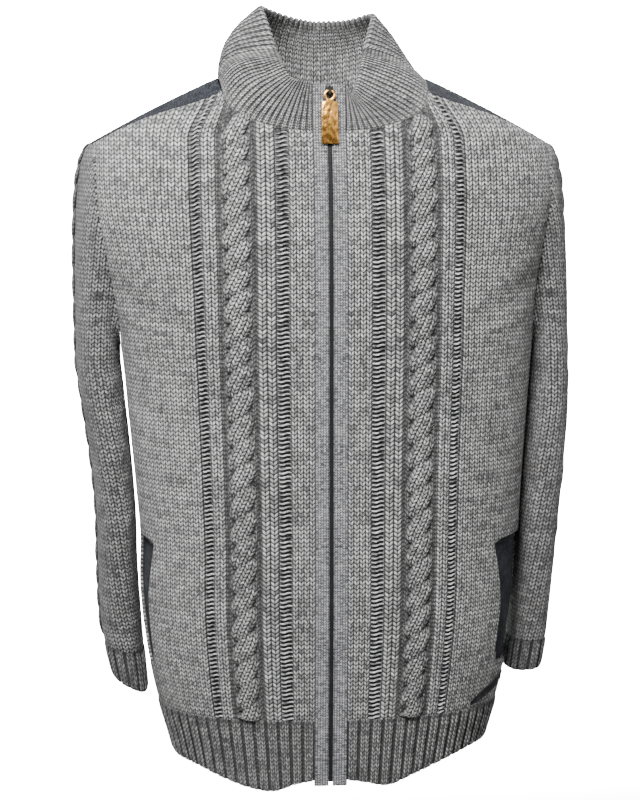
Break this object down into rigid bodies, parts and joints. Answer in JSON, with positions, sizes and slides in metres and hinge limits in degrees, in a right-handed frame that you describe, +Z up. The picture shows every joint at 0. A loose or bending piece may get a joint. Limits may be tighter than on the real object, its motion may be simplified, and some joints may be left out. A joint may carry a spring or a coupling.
{
  "type": "cable knit zip cardigan",
  "caption": "Cable knit cardigan with a full-length zip, rolled stand collar, ribbed hem and cuffs, side pockets and a fine knit yoke.",
  "frame": {"origin": "middle of the neck opening, level with the points where the shoulder lines meet the collar", "axes": "+Z up, -Y out of the front, +X towards the wearer's left side, which is on the viewer's right"},
  "size_m": [0.5369, 0.2574, 0.8107],
  "materials": {
    "marled_wool": "thick marled knit, matt",
    "sleeve_wool": "thick marled knit, matt",
    "band_jersey": "smooth fine knit, matt",
    "slate_jersey": "fine knit, matt",
    "tab_cloth": "woven tape, slight sheen",
    "zip_tape": "woven tape with dark teeth",
    "brass": "worn pale brass"
  },
  "bodies": {
    "garment": {"front_left": "marled_wool", "front_right": "marled_wool", "back": "marled_wool", "yoke": "slate_jersey", "collar": "marled_wool", "sleeve_left": "sleeve_wool", "sleeve_right": "sleeve_wool", "cuff_left": "sleeve_wool", "cuff_right": "sleeve_wool", "hem_front_left": "marled_wool", "hem_front_right": "marled_wool", "hem_back": "marled_wool", "band_left": "band_jersey", "band_right": "band_jersey", "pocket_facing_left": "slate_jersey", "pocket_facing_right": "slate_jersey", "side_tab": "tab_cloth", "zip_chain": "zip_tape", "zip_slider": "brass"},
    "pull": {"zip_pull": "brass"}
  },
  "joints": [
    {"name": "pull_swing", "type": "hinge", "parent": "garment", "child": "pull", "pos_m": [0, -0.11007, -0.01499], "axis": [-1, 0, 0], "range_deg": [0, 150]}
  ]
}
